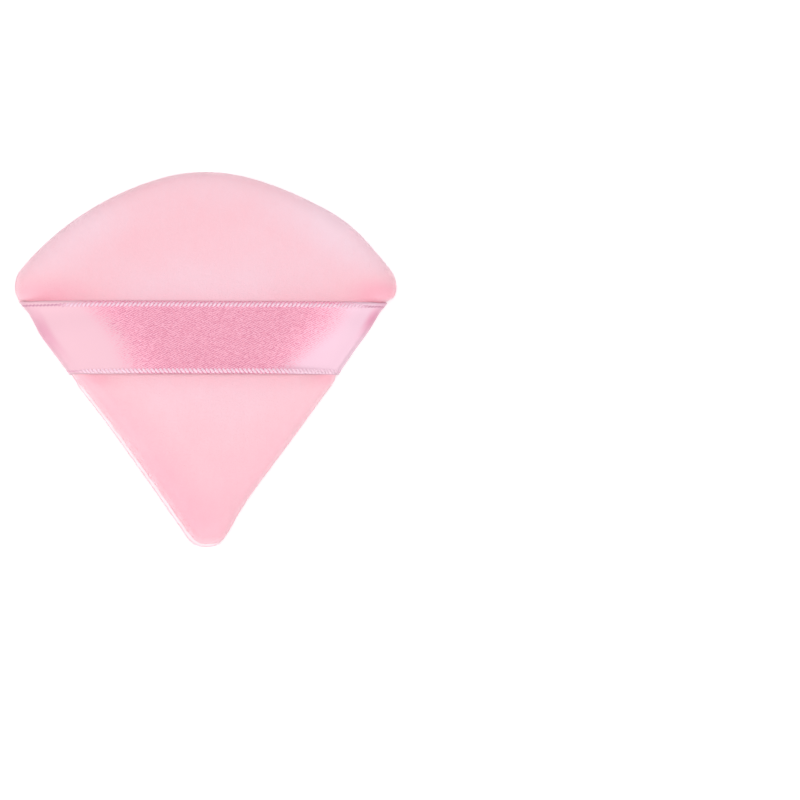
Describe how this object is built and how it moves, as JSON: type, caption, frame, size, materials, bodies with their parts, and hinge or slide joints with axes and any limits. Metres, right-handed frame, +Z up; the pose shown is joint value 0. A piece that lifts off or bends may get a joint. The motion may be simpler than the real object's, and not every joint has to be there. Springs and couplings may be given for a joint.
{
  "type": "powder puff",
  "caption": "Fan-shaped velour powder puff with a foam core, a sewn edge groove and a satin ribbon strap bowed across its grip side for the fingers.",
  "frame": {"origin": "middle of the footprint of the whole puff, on the surface that its powder side lies on", "axes": "+Z up out of the grip side, +Y towards the round crown so the tip points to -Y, +X to the right seen from above"},
  "size_m": [0.0794, 0.078, 0.0162],
  "materials": {
    "velour_front": "short dense velour pile, matte with a pale sheen where it turns away",
    "velour_back": "short dense velour pile, matte with a pale sheen where it turns away",
    "foam": "open-cell soft foam, matte",
    "thread": "twisted polyester sewing thread",
    "satin": "satin weave with a corded selvedge on both edges, silky"
  },
  "bodies": {
    "pad": {"front_cover": "velour_front", "back_cover": "velour_back", "foam_core": "foam", "needle_thread": "thread", "bobbin_thread": "thread", "closing_stitch": "thread", "ribbon_end_left": "satin", "ribbon_end_right": "satin"},
    "strap": {"ribbon_strap": "satin"}
  },
  "joints": [
    {"name": "strap_lift", "type": "slide", "parent": "pad", "child": "strap", "axis": [0, 0, 1], "range_m": [0, 0.004], "stiffness_N_per_m": 5}
  ]
}
